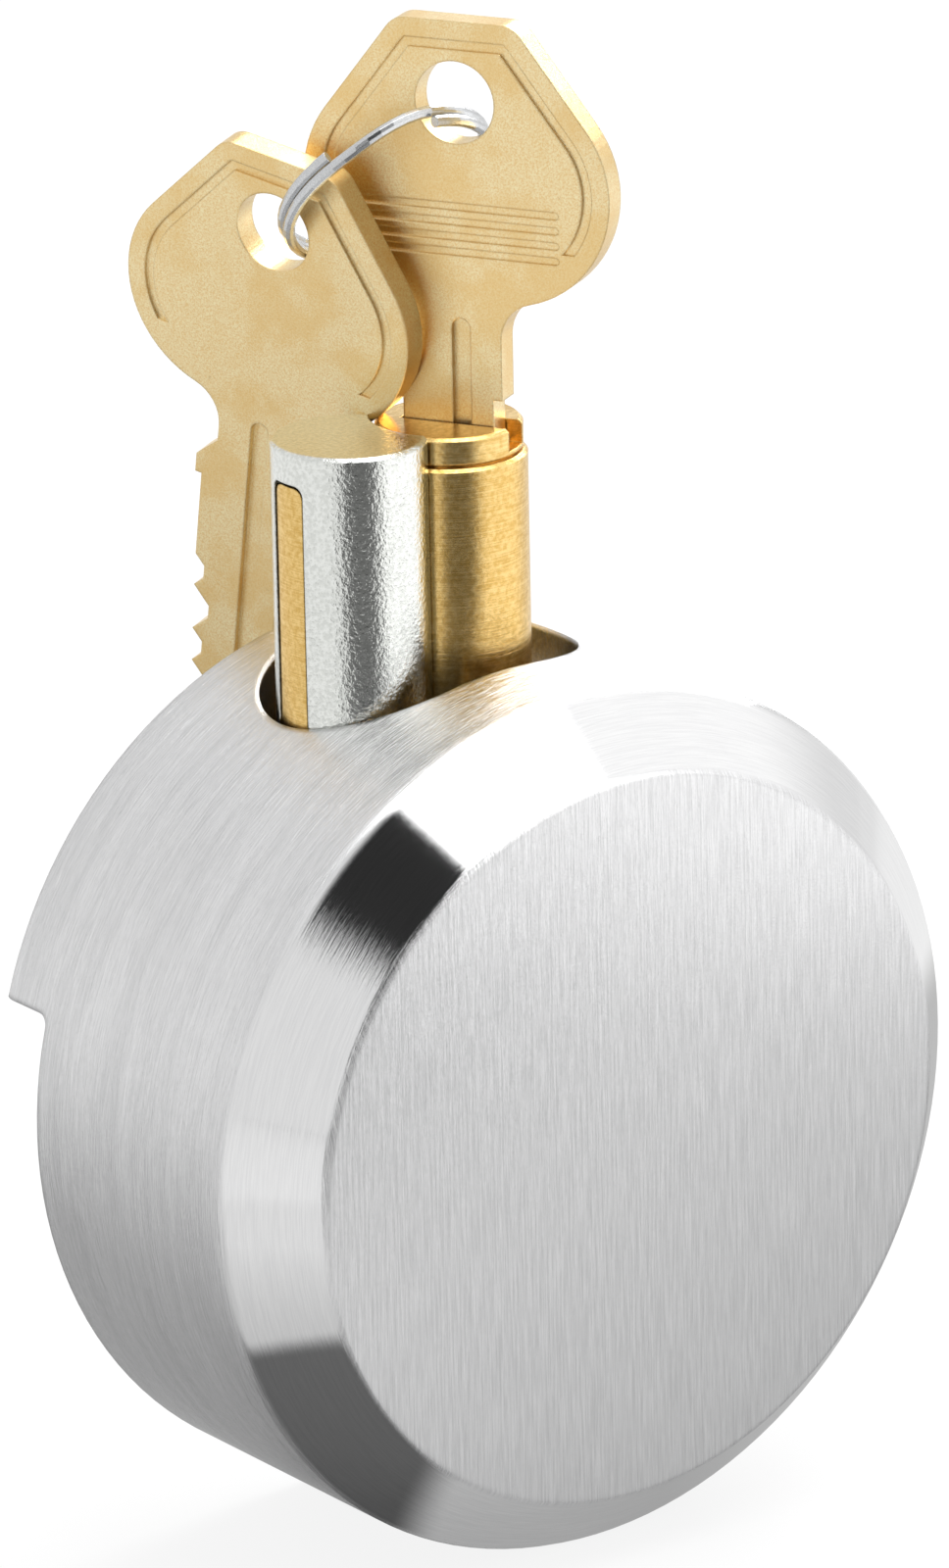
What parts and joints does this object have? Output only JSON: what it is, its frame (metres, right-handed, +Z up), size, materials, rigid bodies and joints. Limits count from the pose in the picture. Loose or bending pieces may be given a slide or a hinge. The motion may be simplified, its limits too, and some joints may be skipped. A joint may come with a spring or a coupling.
{
  "type": "disc padlock",
  "caption": "Round hidden-shackle padlock, open: a steel shackle and brass key cylinder stand raised out of a bevelled disc, with a key in the plug and a spare on a split ring.",
  "frame": {"origin": "on the disc's axis, at its flat front face", "axes": "-Y out of the front face, +Z up along the plunger's travel, +X to the right seen from the front"},
  "size_m": [0.073, 0.0493, 0.1252],
  "materials": {
    "body_steel": "brushed, polished bevel",
    "plated_steel": "zinc plated",
    "hardened_steel": "satin",
    "spring_steel": "bright",
    "brass": "turned, satin",
    "plug_brass": "turned, satin",
    "key_brass": "stamped, satin"
  },
  "bodies": {
    "housing": {"body": "body_steel", "seat_liner": "hardened_steel", "stop_pin": "hardened_steel", "spring_guide": "hardened_steel", "ejector_spring": "spring_steel"},
    "plunger": {"shackle_plunger": "plated_steel", "guide_strip": "brass", "flange_screws": "hardened_steel", "cylinder_shell": "brass", "chamber_cover": "brass", "driver_pins": "brass", "pin_springs": "spring_steel"},
    "plug": {"plug": "plug_brass", "key_pins": "brass", "cam": "hardened_steel", "cam_screw": "hardened_steel", "key": "key_brass"},
    "bolt": {"locking_bolt": "hardened_steel"},
    "ring": {"split_ring": "spring_steel"},
    "spare": {"spare_key": "key_brass"}
  },
  "joints": [
    {"name": "plunger_slide", "type": "slide", "parent": "housing", "child": "plunger", "axis": [0, 0, 1], "range_m": [-0.02, 0], "stiffness_N_per_m": 250, "springref_m": 0.01, "deforming": ["ejector_spring"]},
    {"name": "plug_turn", "type": "hinge", "parent": "plunger", "child": "plug", "pos_m": [0.0003, 0.0237, 0.04], "axis": [0, 0, 1], "range_deg": [-30, 0]},
    {"name": "bolt_throw", "type": "slide", "parent": "plunger", "child": "bolt", "axis": [1, 0, 0], "range_m": [0, 0.00151]},
    {"name": "ring_swing", "type": "hinge", "parent": "plug", "child": "ring", "pos_m": [0.00108, 0.02236, 0.08205], "axis": [0.866, 0.5, 0], "range_deg": [0, 20.1]},
    {"name": "spare_swing", "type": "hinge", "parent": "ring", "child": "spare", "pos_m": [-0.00835, 0.03225, 0.06963], "axis": [0.7471, 0.414, -0.5201], "range_deg": [0, 30]}
  ],
  "couplings": [
    {"joint": "bolt_throw", "follows": "plug_turn", "m_per_rad": -0.002866},
    {"joint": "ring_swing", "follows": "plunger_slide", "rad_per_m": -17.453}
  ]
}
